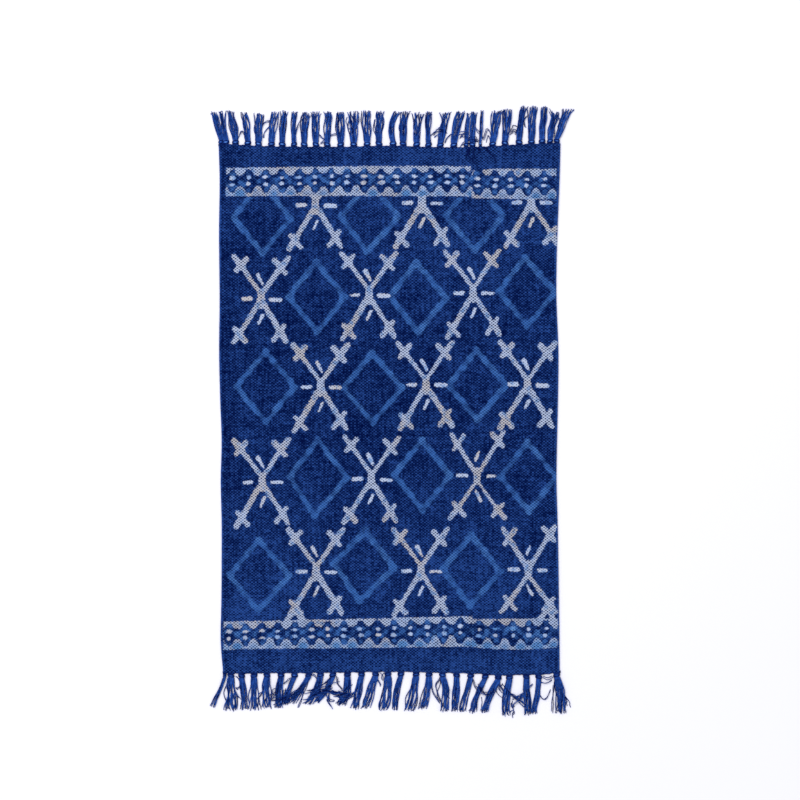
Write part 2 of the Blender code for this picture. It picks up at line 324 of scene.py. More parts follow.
FOOT_STRAYS = [Stray(*row) for row in (
    (-281, 20, -269, 46, 2, 3, 0, -3),
    (-277, 5, -274, 28, 2, 2, 0, 4, 1),
    (-223, 22, -236, 60, 3, 2, 0, -6),
    (-196, 14, -218, 46, 4, 4, 2),
    (-190, 30, -206, 56, 3, 3, 0, 3),
    (-175, 7, -192, 20, 2, 4),
    (-152, 16, -197, 47, 4, 5, 9),
    (-168, 32, -214, 48, 4, 4, 5),
    (-172, 40, -203, 57, 3, 3, 0, 4),
    (-148, 15, -166, 60, 2, 1),
    (-104, 5, -146, 33, 4, 4, 5),
    (-101, 22, -150, 44, 3, 5, -5),
    (-112, 30, -156, 52, 4, 3, 3),
    (-76, 22, -112, 34, 3, 4, 10),
    (-66, 34, -98, 42, 3, 3, 4),
    (-92, 34, -94, 56, 3, 2, 0, 3),
    (-110, 34, -107, 60, 3, 2, 0, -4),
    (-118, 38, -101, 50, 2, 2, 5),
    (-133, 42, -127, 47, 2, 2, 5),
    (-84, 41, -150, 35, 5, 4, -5),
    (-92, 38, -138, 38, 3, 5, -3),
    (-130, 18, -141, 5, 2, 3, -6),
    (-132, 6, -126, 7, 2, 3, 4, 0, 1),
    (-96, 8, -86, 32, 2, 2, 0, -5),
    (-56, 26, -86, 52, 3, 2, 0, 4),
    (-29, 8, -20, 26, 2, 2, 4, 4),
    (-22, 2, -10, 2, 1, 3, 6, 0, 1),
    (70, 9, 86, 56, 2, 2, 0, -5),
    (88, 10, 89, 52, 3, 2, 0, -8),
    (92, 18, 102, 46, 2, 3, 0, 4, 1),
    (184, 24, 150, 20, 3, 5, 15),
    (145, 9, 174, 32, 2, 4, 10, -6),
    (160, 42, 161, 71, 1, 1),
    (188, 25, 203, 44, 1, 2, 0, -6),
    (194, 10, 203, 36, 3, 2, 0, -4),
    (187, 8, 216, 36, 2, 3, 7, -6),
    (200, 18, 241, 56, 2, 4, 0, -5),
    (249, 18, 214, 42, 2, 3, 5),
    (235, 35, 212, 37, 2, 4, 3),
    (231, 38, 213, 56, 2, 4),
    (214, 34, 237, 58, 3, 3),
    (238, 36, 238, 54, 2, 3, 0, -8),
    (214, 48, 213, 70, 3, 1, 0, 2),
    (243, 14, 238, 34, 2, 3, 0, -6),
    (260, 31, 282, 29, 2, 2, 14),
    (264, 13, 284, 12, 2, 3, 4),
    (268, 4, 286, 5, 2, 2, 4),
    (304, 38, 315, 60, 4, 1, 0, 2),
    (288, 18, 286, 71, 2, 1),
)]


# What all the colour settings share
COLOUR = {"size": 4, "min": 0, "max": 1, "subtype": "COLOR"}


class RugClothSettings(bpy.types.PropertyGroup):
    """The woven cloth."""

    # Both are a little coarser than the real 2.7 and 1.8 mm, which an 800-pixel picture can't hold
    warp_pitch: bpy.props.FloatProperty(
        name="Warp pitch", description="Width of one warp thread", default=3.2 * MM, unit="LENGTH"
    )
    weft_pitch: bpy.props.FloatProperty(
        name="Weft pitch", description="Height of one weft row", default=2.5 * MM, unit="LENGTH"
    )
    ripple: bpy.props.FloatProperty(
        name="Ripple", description="How far the face rises and falls", default=0.9 * MM,
        unit="LENGTH",
    )
    # Painted shade as well as dye: the gaps between the threads' crowns get this darker colour in
    # place of the shade that falls there
    gap_indigo_and_shade: bpy.props.FloatVectorProperty(
        name="Deep indigo", description="Ground between the threads' crowns",
        default=linear("#000C39"), **COLOUR,
    )
    crown: bpy.props.FloatVectorProperty(
        name="Crown indigo", description="Ground on the threads' crowns",
        default=linear("#274B8C"), **COLOUR,
    )


class RugPrintSettings(bpy.types.PropertyGroup):
    """The block print on the face."""

    pale: bpy.props.FloatVectorProperty(
        name="Pale print", description="Where the paste kept the dye off",
        default=linear("#B6C4D6"), **COLOUR,
    )
    warm: bpy.props.FloatVectorProperty(
        name="Warm print", description="Unbleached cotton in the pale print",
        default=linear("#BEBCB8"), **COLOUR,
    )
    middle: bpy.props.FloatVectorProperty(
        name="Middle blue", description="Where the cloth was dyed once only",
        default=linear("#3867A8"), **COLOUR,
    )
    washed: bpy.props.FloatVectorProperty(
        name="Washed blue", description="Where dye crept into the pale print",
        default=linear("#5C8CBF"), **COLOUR,
    )
    bleed: bpy.props.FloatProperty(
        name="Bleed", description="How far the print's edge strays", default=1.0 * MM, unit="LENGTH"
    )


class RugFringeSettings(bpy.types.PropertyGroup):
    """The knotted warp ends."""

    yarn: bpy.props.FloatProperty(
        name="Yarn", description="Thickness of one yarn", default=2.0 * MM, unit="LENGTH"
    )
    twist: bpy.props.FloatProperty(
        name="Twist", description="Length of one turn of the ply", default=4.0 * MM, unit="LENGTH"
    )
    dark: bpy.props.FloatVectorProperty(
        name="Dark yarn", description="Yarns that took the most dye",
        default=linear("#07154C"), **COLOUR,
    )
    # Painted highlight: the light blue that the knots' tops and the brightest yarns are mixed
    # towards
    painted_highlight: bpy.props.FloatVectorProperty(
        name="Rubbed yarn", description="Tops of the knots, where the dye wore off",
        default=linear("#5A8CD2"), **COLOUR,
    )
    light: bpy.props.FloatVectorProperty(
        name="Light yarn", description="Yarns that took the least dye",
        default=linear("#2C59AC"), **COLOUR,
    )


class RugStageSettings(bpy.types.PropertyGroup):
    """Floor, light and camera."""

    floor: bpy.props.FloatVectorProperty(
        name="Floor", description="Pale floor", default=linear("#FCFCFD"), **COLOUR
    )
    sky: bpy.props.FloatProperty(
        name="Fill light", description="Strength of the light from all round", default=0.77, min=0
    )
    sky_colour: bpy.props.FloatVectorProperty(
        name="Fill colour", description="Daylight, a little blue", default=(1.0, 1.01, 1.13), min=0,
        subtype="COLOR",
    )
    lamp: bpy.props.FloatProperty(
        name="Soft box", description="Power of the large lamp", default=100.0, min=0, unit="POWER"
    )
    lamp_colour: bpy.props.FloatVectorProperty(
        name="Soft box colour", description="A cool white that leaves the fringe's gaps lavender",
        default=(0.92, 0.90, 1.05), min=0, subtype="COLOR",
    )
    camera_height: bpy.props.FloatProperty(
        name="Camera height", description="Above the floor", default=5.0, unit="LENGTH"
    )


def fill_inputs(tree, node, inputs):
    """Gives a node's inputs, by name or number, their values. A socket is linked instead."""
    for name, value in inputs.items():
        if isinstance(value, bpy.types.NodeSocket):
            tree.links.new(value, node.inputs[name])
        else:
            node.inputs[name].default_value = value


def add_node(tree, kind, inputs=(), out=0, **settings):
    """Adds a node with its settings and links, and returns one of its outputs.

    The inputs are a list in the node's own order, or a dict by name or number.
    """
    new = tree.nodes.new("ShaderNode" + kind)
    for name, value in settings.items():
        setattr(new, name, value)
    fill_inputs(tree, new, inputs if isinstance(inputs, dict) else dict(enumerate(inputs)))
    return new.outputs[out]


# Settings that many nodes share. In a colour mix input 0 is the factor, 6 and 7 are the colours and
# output 2 is the result
COLOUR_MIX = {"data_type": "RGBA", "out": 2}
EASED = {"interpolation_type": "SMOOTHSTEP"}


def new_material(name):
    """An empty material. Returns it, its shader, and add_node for its own node tree."""
    material = bpy.data.materials.new(name)
    material.use_nodes = True
    tree = material.node_tree
    return material, tree.nodes["Principled BSDF"], partial(add_node, tree)


# Hairy cotton has next to no gleam
MATT_COTTON = {"Roughness": 0.9, "Specular IOR Level": 0.02}
# Cloudy patterns, each by how wide its clouds are and how much finer detail they have
CLOTH_CLOUDS = {
    "cloud": (55 * MM, 3.0),
    "fleck": (6 * MM, 3.0),
    "fibre": (0.7 * MM, 2.0),
    "fray": (2.6 * MM, 2.0),
    "blue_ink": (14 * MM, 3.0),
    "fading": (45 * MM, 1.0),
    "pale_ink": (11 * MM, 3.0),
    "beige": (60 * MM, 1.0),
}
YARN_CLOUDS = {"fleck": (5 * MM, 3.0), "fibre": (0.6 * MM, 2.0)}
# Uneven spinning of warps and of wefts: how it is drawn out along them, and how wide it is
SLUBS = (((1.0, 0.045, 1.0), 2.7 * MM), ((0.04, 1.0, 1.0), 1.9 * MM))

# What the cotton is at a place: near a thread's crown (1) or a gap (-1), how thick its threads are,
# how light the dye and the painted shade of the weave left them, and how much paste they held
Weave = namedtuple("Weave", "checker slub crown held")


def weave_nodes(add, spot, cloth):
    """The plain weave, with its threads a little out of line and each crown unlike the next."""
    # Hand-thrown wefts wander up to 2.5 mm either way over 70 mm, so the grid isn't straight
    wander = add("TexNoise", {"Vector": spot, "Scale": 14.0, "Detail": 1.0}, out="Color")
    wander = add("VectorMath", [wander, (0.5, 0.5, 0.5)], operation="SUBTRACT")
    wander = add("VectorMath", {0: wander, "Scale": 5 * MM}, operation="SCALE")
    woven = add("VectorMath", [spot, wander], operation="ADD")
    x = add("SeparateXYZ", [woven])
    y = x.node.outputs["Y"]
    across = add("Math", [x, math.pi / cloth.warp_pitch], operation="MULTIPLY")
    along = add("Math", [y, math.pi / cloth.weft_pitch], operation="MULTIPLY")
    across, along = (add("Math", [angle], operation="SINE") for angle in (across, along))
    checker = add("Math", [across, along], operation="MULTIPLY")
    # Each crown took its own share of dye and paste
    pitch = (cloth.warp_pitch, cloth.weft_pitch, 1.0)
    cell = add("VectorMath", [woven, pitch], operation="DIVIDE")
    cell = add("VectorMath", [cell], operation="FLOOR")
    luck = add("TexWhiteNoise", {"Vector": cell}, noise_dimensions="2D")
    # Painted shade: the crowns are lighter and the gaps between them darker in colour, for the
    # weave's relief, which the sheet has only as a bump
    painted_weave_shade = add("MapRange", [checker, -0.45, 0.55, -0.28, 0.42], **EASED)
    crown = add("Math", [luck, 0.6, painted_weave_shade], operation="MULTIPLY_ADD")
    held = add("Math", [luck, 0.35, checker], operation="MULTIPLY_ADD")
    # Each warp and each weft is a little lighter or darker over a few centimetres
    warp, weft = (
        add("TexNoise", {
            "Vector": add("Mapping", {"Vector": woven, "Scale": drawn_out}),
            "Scale": 1 / width,
            "Detail": 1.0,
        })
        for drawn_out, width in SLUBS
    )
    slub = add("Math", [warp, weft], operation="ADD")
    return Weave(checker, slub, crown, held)


def ground_nodes(add, cloth, weave, noise):
    """The dyed ground's colour, from the gaps' dark indigo with painted shade to the crowns'."""
    dye = add("Attribute", out="Fac", attribute_name="dye")
    cloud = add("MapRange", [noise["cloud"], 0.35, 0.7, -0.1, 0.13], **EASED)
    speck = add("MapRange", [noise["fleck"], 0.3, 0.75, -0.12, 0.2], **EASED)
    streak = add("MapRange", [weave.slub, 0.7, 1.3, -0.2, 0.22], **EASED)
    lift = add("Math", [cloud, speck], operation="ADD")
    lift = add("Math", [dye, 0.2, lift], operation="MULTIPLY_ADD")
    lift = add("Math", [lift, streak], operation="ADD")
    shade = add("Math", [weave.crown, lift], operation="ADD")
    return add("Mix", {0: shade, 6: tuple(cloth.gap_indigo_and_shade), 7: tuple(cloth.crown)}, **COLOUR_MIX)


def blue_print_nodes(add, printing, weave, noise, fray, ground):
    """The colour with the diamonds and the border's blots over the ground.

    They are once-dyed blue, patchy, with some crowns nearly bare.
    """
    blue = add("Attribute", out="Fac", attribute_name="blue")
    blue = add("Math", [blue, fray], operation="ADD")
    # More paste also made a line wider
    more = add("Math", [noise["blue_ink"], 0.5], operation="SUBTRACT")
    blue = add("Math", [more, -8.0 * printing.bleed / MM, blue], operation="MULTIPLY_ADD")
    printed = add("MapRange", [blue, 1.6, -1.8], **EASED)
    patchy = add("MapRange", [noise["blue_ink"], 0.3, 0.65, 0.4, 1.0], **EASED)
    caught = add("MapRange", [weave.held, -0.6, 0.8, 0.35, 1.0], **EASED)
    mask = add("Math", [printed, patchy], operation="MULTIPLY")
    mask = add("Math", [mask, caught], operation="MULTIPLY")
    faded = add("MapRange", [noise["fading"], 0.45, 0.65, 0.1, 0.55], **EASED)
    bare = add("MapRange", [weave.held, -0.1, 0.9], **EASED)
    bare = add("Math", [faded, bare], operation="MULTIPLY")
    ink = add(
        "Mix", {0: bare, 6: tuple(printing.middle), 7: tuple(printing.washed)}, **COLOUR_MIX
    )
    return add("Mix", {0: mask, 6: ground, 7: ink}, **COLOUR_MIX)


def pale_print_nodes(add, printing, weave, noise, fray, under):
    """The colour with the stars and the border over what is under them.

    They are unbleached or pale cotton, blued where dye crept in, with a faint blue halo.
    """
    pale, tint, thick = (
        add("Attribute", out="Fac", attribute_name=name) for name in ("pale", "tint", "thick")
    )
    pale = add("Math", [pale, fray], operation="ADD")
    more = add("Math", [noise["pale_ink"], 0.5], operation="SUBTRACT")
    pale = add("Math", [more, -5.0 * printing.bleed / MM, pale], operation="MULTIPLY_ADD")
    crept = add("MapRange", [noise["pale_ink"], 0.53, 0.7, 0.0, 0.75], **EASED)
    crept = add("Math", [crept, tint], operation="MAXIMUM")
    beige = add("MapRange", [noise["beige"], 0.46, 0.68], **EASED)
    ink = add("Mix", {0: beige, 6: tuple(printing.pale), 7: tuple(printing.warm)}, **COLOUR_MIX)
    ink = add("Mix", {0: crept, 6: ink, 7: tuple(printing.washed)}, **COLOUR_MIX)
    halo = add("MapRange", [pale, 2.2, 0.2, 0.0, 0.4], **EASED)
    halo = add("Math", [halo, weave.crown], operation="MULTIPLY")
    under = add("Mix", {0: halo, 6: under, 7: tuple(printing.middle)}, **COLOUR_MIX)
    # Small marks got so much paste that it also filled the gaps between threads
    held = add("Math", [thick, 1.2, weave.held], operation="MULTIPLY_ADD")
    printed = add("MapRange", [pale, 0.7, -0.7], **EASED)
    caught = add("MapRange", [held, -0.45, 0.5, 0.06, 1.0], **EASED)
    whole = add("MapRange", [noise["fleck"], 0.24, 0.42, 0.55, 1.0], **EASED)
    mask = add("Math", [printed, caught], operation="MULTIPLY")
    mask = add("Math", [mask, whole], operation="MULTIPLY")
    return add("Mix", {0: mask, 6: under, 7: ink}, **COLOUR_MIX)


def plain_weave_cotton(cloth, printing):
    """Plain-weave cotton, block-printed with a resist and dyed in indigo.

    Matt and slightly hairy. Only the threads' crowns took the print, so each printed line is a
    grid of pale specks with dark gaps, and the ground is mottled where the dye took unevenly. The
    gaps between the crowns are also darkened with painted shade.
    """
    material, shader, add = new_material("plain_weave_cotton_resist_printed")
    spot = add("TexCoord", out="Object")
    noise = {
        name: add("TexNoise", {"Vector": spot, "Scale": 1 / width, "Detail": detail})
        for name, (width, detail) in CLOTH_CLOUDS.items()
    }
    weave = weave_nodes(add, spot, cloth)
    # The print's edges fray with the threads
    fray = add("Math", [noise["fray"], 0.5], operation="SUBTRACT")
    fray = add("Math", [fray, 5.0 * printing.bleed / MM], operation="MULTIPLY")
    colour = ground_nodes(add, cloth, weave, noise)
    colour = blue_print_nodes(add, printing, weave, noise, fray, colour)
    colour = pale_print_nodes(add, printing, weave, noise, fray, colour)
    height = add("Math", [noise["fibre"], 0.35], operation="MULTIPLY")
    height = add("Math", [weave.checker, 0.5, height], operation="MULTIPLY_ADD")
    height = add("Math", [weave.slub, 0.25, height], operation="MULTIPLY_ADD")
    bump = add("Bump", {"Strength": 0.55, "Distance": 0.35 * MM, "Height": height})
    look = {"Base Color": colour, "Normal": bump, **MATT_COTTON}
    fill_inputs(material.node_tree, shader, look)
    return material


def plied_cotton(fringe):
    """Soft two-ply cotton warp yarn, dyed in the piece: matt, hairy, each yarn its own blue, with
    painted shade on its sides and plies and painted highlights on its brightest tops.
    """
    material, shader, add = new_material("two_ply_cotton_yarn_dyed")
    spot = add("TexCoord", out="Object")
    fleck, fibre = (
        add("TexNoise", {"Vector": spot, "Scale": 1 / width, "Detail": detail})
        for width, detail in YARN_CLOUDS.values()
    )
    tone = add("Attribute", out="Fac", attribute_name="tone")
    # Two plies wind round the yarn: the UV map says how far round it a place is, and how far along
    around = add("SeparateXYZ", [add("UVMap", uv_map="ply")])
    along = around.node.outputs["Y"]
    wound = add("Math", [around, 4 * math.pi], operation="MULTIPLY")
    wound = add("Math", [along, 2 * math.pi / fringe.twist, wound], operation="MULTIPLY_ADD")
    ply = add("Math", [wound], operation="SINE")
    # Painted light and shade: the plies' ridges are lighter and their grooves darker in colour,
    # besides the bump
    shade = add("Math", [ply, 0.12, tone], operation="MULTIPLY_ADD")
    speck = add("MapRange", [fleck, 0.3, 0.7, -0.2, 0.2], **EASED)
    shade = add("Math", [shade, speck], operation="ADD")
    # Painted shade: each yarn's sides and underside are darker than its top, as if lit from above
    # and shaded by its neighbours
    painted_side_shade = add("Math", [around, 2 * math.pi], operation="MULTIPLY")
    painted_side_shade = add("Math", [painted_side_shade], operation="SINE")
    painted_side_shade = add("MapRange", [painted_side_shade, -0.1, 0.85, 0.16, 1.0], **EASED)
    shade = add("Math", [shade, painted_side_shade], operation="MULTIPLY")
    # Painted highlight: where the shade runs highest, mostly the knots' tops, the colour turns
    # towards the highlight blue
    painted_highlight_share = add("MapRange", [shade, 0.8, 1.5], **EASED)
    colour = add("Mix", {0: shade, 6: tuple(fringe.dark), 7: tuple(fringe.light)}, **COLOUR_MIX)
    colour = add("Mix", {0: painted_highlight_share, 6: colour, 7: tuple(fringe.painted_highlight)}, **COLOUR_MIX)
    height = add("Math", [fibre, 0.5], operation="MULTIPLY")
    height = add("Math", [ply, 0.5, height], operation="MULTIPLY_ADD")
    bump = add("Bump", {"Strength": 0.6, "Distance": 0.3 * MM, "Height": height})
    look = {"Base Color": colour, "Normal": bump, **MATT_COTTON}
    fill_inputs(material.node_tree, shader, look)
    return material


def matt_paper(stage):
    """A wide sheet of matt white paper with a faint tooth, so it shows no gleam."""
    material, shader, add = new_material("matt_white_paper")
    spot = add("TexCoord", out="Object")
    tooth = add("TexNoise", {"Vector": spot, "Scale": 1 / (0.8 * MM), "Detail": 2.0})
    bump = add("Bump", {"Strength": 0.05, "Distance": 0.1 * MM, "Height": tooth})
    look = {"Base Color": tuple(stage.floor), "Roughness": 0.95, "Specular IOR Level": 0.1}
    fill_inputs(material.node_tree, shader, {**look, "Normal": bump})
    return material


def object_from(bm, name, material):
    """A smooth-shaded object at the origin, made from the bmesh."""
    mesh = bpy.data.meshes.new(name)
    bm.to_mesh(mesh)
    bm.free()
    mesh.materials.append(material)
    for polygon in mesh.polygons:
        polygon.use_smooth = True
    obj = bpy.data.objects.new(name, mesh)
    bpy.context.scene.collection.objects.link(obj)
    return obj


def set_attribute(mesh, name, values):
    """One number for each vertex."""
    attribute = mesh.attributes.new(name, "FLOAT", "POINT")
    attribute.data.foreach_set("value", np.asarray(values, np.float32))


def places_of(mesh):
    """Where a mesh's vertices are, one row for each."""
    places = np.empty(len(mesh.vertices) * 3)
    mesh.vertices.foreach_get("co", places)
    return places.reshape(-1, 3)


class ClothEdges:
    """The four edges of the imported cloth, each a line that a place along it gives."""

    # The rim is the wall's middle. Nothing nearer than this to the rug's middle is on it
    WALL_HALF = 0.8 * MM
    NEAREST = 0.25

    def __init__(self):
        points = places_of(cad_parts["cloth"].data)
        middle = (points[:, 2].min() + points[:, 2].max()) / 2
        rim = points[np.abs(points[:, 2] - middle) < self.WALL_HALF, :2]
        rim = rim[np.hypot(*rim.T) > self.NEAREST]
        turn = np.arctan2(rim[:, 1], rim[:, 0])
        corner = {(sx, sy): turn[np.argmax(rim @ (sx, sy))] for sx in (-1, 1) for sy in (-1, 1)}
        right = (turn >= corner[1, -1]) & (turn <= corner[1, 1])
        head = (turn >= corner[1, 1]) & (turn <= corner[-1, 1])
        left = (turn >= corner[-1, 1]) | (turn <= corner[-1, -1])
        foot = (turn >= corner[-1, -1]) & (turn <= corner[1, -1])
        self.head, self.foot = (self.sorted_by(rim[side], 0) for side in (head, foot))
        self.left, self.right = (self.sorted_by(rim[side], 1) for side in (left, right))

    @staticmethod
    def sorted_by(points, axis):
        """The points in their order along an axis."""
        return points[np.argsort(points[:, axis])]

    def end_y(self, end, x):
        """Where the cloth ends at x, at its head or its foot."""
        line = self.head if end == HEAD else self.foot
        return np.interp(x, line[:, 0], line[:, 1])

    def spread(self, across, along):
        """Places on the cloth, from 0..1 across it and 0..1 along it."""
        foot = self.at_share(self.foot, 0, across)
        head = self.at_share(self.head, 0, across)
        left = self.at_share(self.left, 1, along)
        right = self.at_share(self.right, 1, along)
        u, v = across[:, None], along[:, None]
        corners = (
            (1 - u) * (1 - v) * self.foot[0]
            + u * (1 - v) * self.foot[-1]
            + (1 - u) * v * self.head[0]
            + u * v * self.head[-1]
        )
        return (1 - v) * foot + v * head + (1 - u) * left + u * right - corners

    @staticmethod
    def at_share(line, axis, share):
        """Points at that share of the way along a line."""
        way = (line[:, axis] - line[0, axis]) / (line[-1, axis] - line[0, axis])
        return np.stack([np.interp(share, way, line[:, k]) for k in (0, 1)], axis=1)


def smooth(share):
    """Eases 0..1 in and out."""
    share = np.clip(share, 0, 1)
    return share * share * (3 - 2 * share)


def stroke_distance(x, y, stroke):
    """How far each place lies outside a printed line (+) or inside it (-)."""
    run_x, run_y = stroke.x2 - stroke.x1, stroke.y2 - stroke.y1
    share = ((x - stroke.x1) * run_x + (y - stroke.y1) * run_y) / (run_x**2 + run_y**2)
    share = np.clip(share, 0, 1)
    width = stroke.wide1 + (stroke.wide2 - stroke.wide1) * share
    return np.hypot(x - stroke.x1 - share * run_x, y - stroke.y1 - share * run_y) - width / 2


def star_distance(x, y, block, chance):
    """To the nearest of these strokes in any star, each pressed a little more or less."""
    nearest = np.full_like(x, FAR)
    for stamp in STAR_STAMPS:
        turn = math.radians(stamp.turn)
        here_x = (x - stamp.x) * math.cos(turn) + (y - stamp.y) * math.sin(turn)
        here_y = (y - stamp.y) * math.cos(turn) - (x - stamp.x) * math.sin(turn)
        for stroke in block:
            press = (stamp.ink - 1) * 3 + chance.uniform(-0.8, 0.3)
            nearest = np.minimum(nearest, stroke_distance(here_x, here_y, stroke) - press)
    return nearest


def diamond_distance(x, y, chance):
    """To the nearest diamond's line, which is as uneven as a hand-cut block leaves it."""
    nearest = np.full_like(x, FAR)
    for d in DIAMONDS:
        corners = [
            (d.x - d.half_width, d.y + d.tilt),
            (d.x + d.top_lean, d.y + d.half_height),
            (d.x + d.half_width, d.y - d.tilt),
            (d.x + d.foot_lean, d.y - d.half_height),
        ]
        line = DIAMOND_LINE * (0.75 + 0.25 * d.ink)
        for a, b in zip(corners, corners[1:] + corners[:1]):
            wide1, wide2 = line * chance.uniform(0.85, 1.1), line * chance.uniform(0.9, 1.15)
            nearest = np.minimum(nearest, stroke_distance(x, y, Stroke(*a, *b, wide1, wide2)))
            # Paste gathered at each corner, a little inward
            inward = (a[0] + 0.05 * (d.x - a[0]), a[1] + 0.05 * (d.y - a[1]))
            blob = Stroke(*a, *inward, line * 1.3, line * 1.3)
            nearest = np.minimum(nearest, stroke_distance(x, y, blob))
    return nearest


def edge_teeth(dx, below, above, chance):
    """One motif's tooth under the border's upper line, and its hill on the lower one."""
    lean = chance.uniform(-1.5, 1.5)
    half = TOOTH_HALF * chance.uniform(0.88, 1.15)
    depth = TOOTH_DEPTH * chance.uniform(0.8, 1.1)
    aside = np.clip((dx - lean * below / depth) / half, -1, 1)
    rounded = depth * np.cos(aside * math.pi / 2) ** TOOTH_BLUNTNESS
    height = SCALLOP * chance.uniform(0.85, 1.08)
    arch = smooth(np.cos(np.clip(dx / MOTIF_PITCH, -0.5, 0.5) * math.pi) ** 2)
    bell = VALLEY + (height - VALLEY) * arch
    return [(below - rounded) * SLOPE, (above - bell) * SLOPE]


def blot_distance(dx, below, chance):
    """To the nearest of one motif's blots, some of which the block missed."""
    nearest = np.full_like(dx, FAR)
    for blot_x, blot_depth, reach in BLOTS:
        if chance.random() < BLOTS_MISSED:
            continue
        away_x = dx - blot_x - chance.uniform(-1.5, 1.5)
        away_y = below - blot_depth - chance.uniform(-1.5, 1.5)
        blot = np.hypot(away_x, away_y) - reach * chance.uniform(0.75, 1.15)
        nearest = np.minimum(nearest, blot)
    return nearest


def border_fields(x, y, chance):
    """The border print's pale and blue distances, the pale's tint and thickness, and its inside."""
    pale, blue = np.full_like(x, FAR), np.full_like(x, FAR)
    tint, thick = np.zeros_like(x), np.zeros_like(x)
    inside = np.zeros(x.shape, bool)
    for run in BORDER_RUNS:
        share = np.clip((x - run.x1) / (run.x2 - run.x1), 0, 1)
        bow = 4 * share * (1 - share)
        below = run.top1 + (run.top2 - run.top1) * share + run.top_bow * bow - y
        above = y - run.low1 - (run.low2 - run.low1) * share - run.low_bow * bow
        ends = np.maximum(run.x1 - x, x - run.x2)
        band = np.maximum(ends, np.maximum(-below, -above))
        inside |= band < 1
        pieces = [below - EDGE_LINE, above - EDGE_LINE]
        first = math.floor((run.x1 - run.motif) / MOTIF_PITCH)
        for k in range(first, first + int((run.x2 - run.x1) / MOTIF_PITCH) + 3):
            dx = x - run.motif - k * MOTIF_PITCH - chance.uniform(-1.2, 1.2)
            pieces += edge_teeth(dx, below, above, chance)
            blued = min(max(run.blue + chance.uniform(-0.35, 0.35), 0), 1)
            glow = 0.3 * blued + 1.8 * blued * np.exp(-((dx / 9) ** 2) - ((above - 4) / 7.5) ** 2)
            motif = (band < 0) & (np.abs(dx) < MOTIF_PITCH / 2)
            tint = np.maximum(tint, np.where(motif, glow, 0))
            for depth_of_dot in DOT_DEPTHS:
                away_x = dx - MOTIF_PITCH / 2 - chance.uniform(-1.6, 1.6)
                away_y = below - depth_of_dot - chance.uniform(-1, 1)
                wide, tall = (r * chance.uniform(0.7, 1.15) for r in DOT)
                dot = (np.hypot(away_x / wide, away_y / tall) - 1) * tall
                pieces.append(dot)
                thick = np.maximum(thick, chance.uniform(0.4, 1) * (dot < 1.5))
                tint = np.maximum(tint, 1.5 * run.blue * chance.random() ** 2 * (dot < 1.5))
            blot = np.maximum(blot_distance(dx, below, chance), band)
            blue = np.minimum(blue, np.maximum(blot, BLOT_INK))
        pale = np.minimum(pale, np.maximum(np.minimum.reduce(pieces), band))
    return pale, blue, tint, thick, inside


def print_fields(x, y):
    """The whole chart at these places, by attribute name. Distances are in millimetres."""
    chance = random.Random(11)
    pale, blue, tint, thick, inside = border_fields(x, y, chance)
    arms, ticks = (star_distance(x, y, block, chance) for block in (STAR_ARMS, STAR_TICKS))
    star = np.minimum.reduce([arms, ticks] + [stroke_distance(x, y, stroke) for stroke in RUN_ON])
    thick = np.maximum(thick, 0.35 * (ticks < 1.5))
    diamond = diamond_distance(x, y, chance)
    # The stars and diamonds stop at the head border's lower line
    run, next_run = BORDER_RUNS[:2]
    behind_border = y > np.where(x < run.x2, run.low1 + 1, next_run.low1 - 0.5)
    star = np.where(behind_border, FAR, star)
    diamond = np.where(behind_border | inside, FAR, diamond)
    # Where two runs of the head border meet, the paste smeared and took badly
    smear = np.exp(-(((x - 154) / 13) ** 2) - ((y - 430) / 9) ** 2)
    pale = np.minimum(pale + 3.5 * smear, star)
    blue = np.minimum(blue, diamond)
    pale, blue = (np.clip(far, -KEPT_DISTANCE, KEPT_DISTANCE) for far in (pale, blue))
    return {"pale": pale, "blue": blue, "tint": tint, "thick": thick}


def dye_field(x, y, edges):
    """The dye patches, and along each selvage a lighter rim with a slightly darker band just inside
    it.
    """
    total = np.zeros_like(x)
    for side in (edges.left, edges.right):
        inward = np.abs(x - np.interp(y, side[:, 1] / MM, side[:, 0] / MM))
        total += 4.5 * np.exp(-((inward / 2.6) ** 2)) - 0.5 * np.exp(-(((inward - 6) / 4) ** 2))
    for p in DYE_PATCHES:
        away = ((x - p.x) / p.reach_x) ** 2 + ((y - p.y) / p.reach_y) ** 2
        total += p.strength * np.exp(-away)
    return total


def ripple_field(x, y):
    """Slow rises and falls of a rug that was folded and shaken out, from -1 to 1."""
    return 0.5 * (
        np.sin(x / 67 + 0.9 + 0.6 * np.sin(y / 130)) * np.sin(y / 113 + 0.4)
        + 0.6 * np.sin(y / 58 + x / 170)
        + 0.4 * np.sin(x / 31 - y / 240)
    )


YARN_SIDES = 6


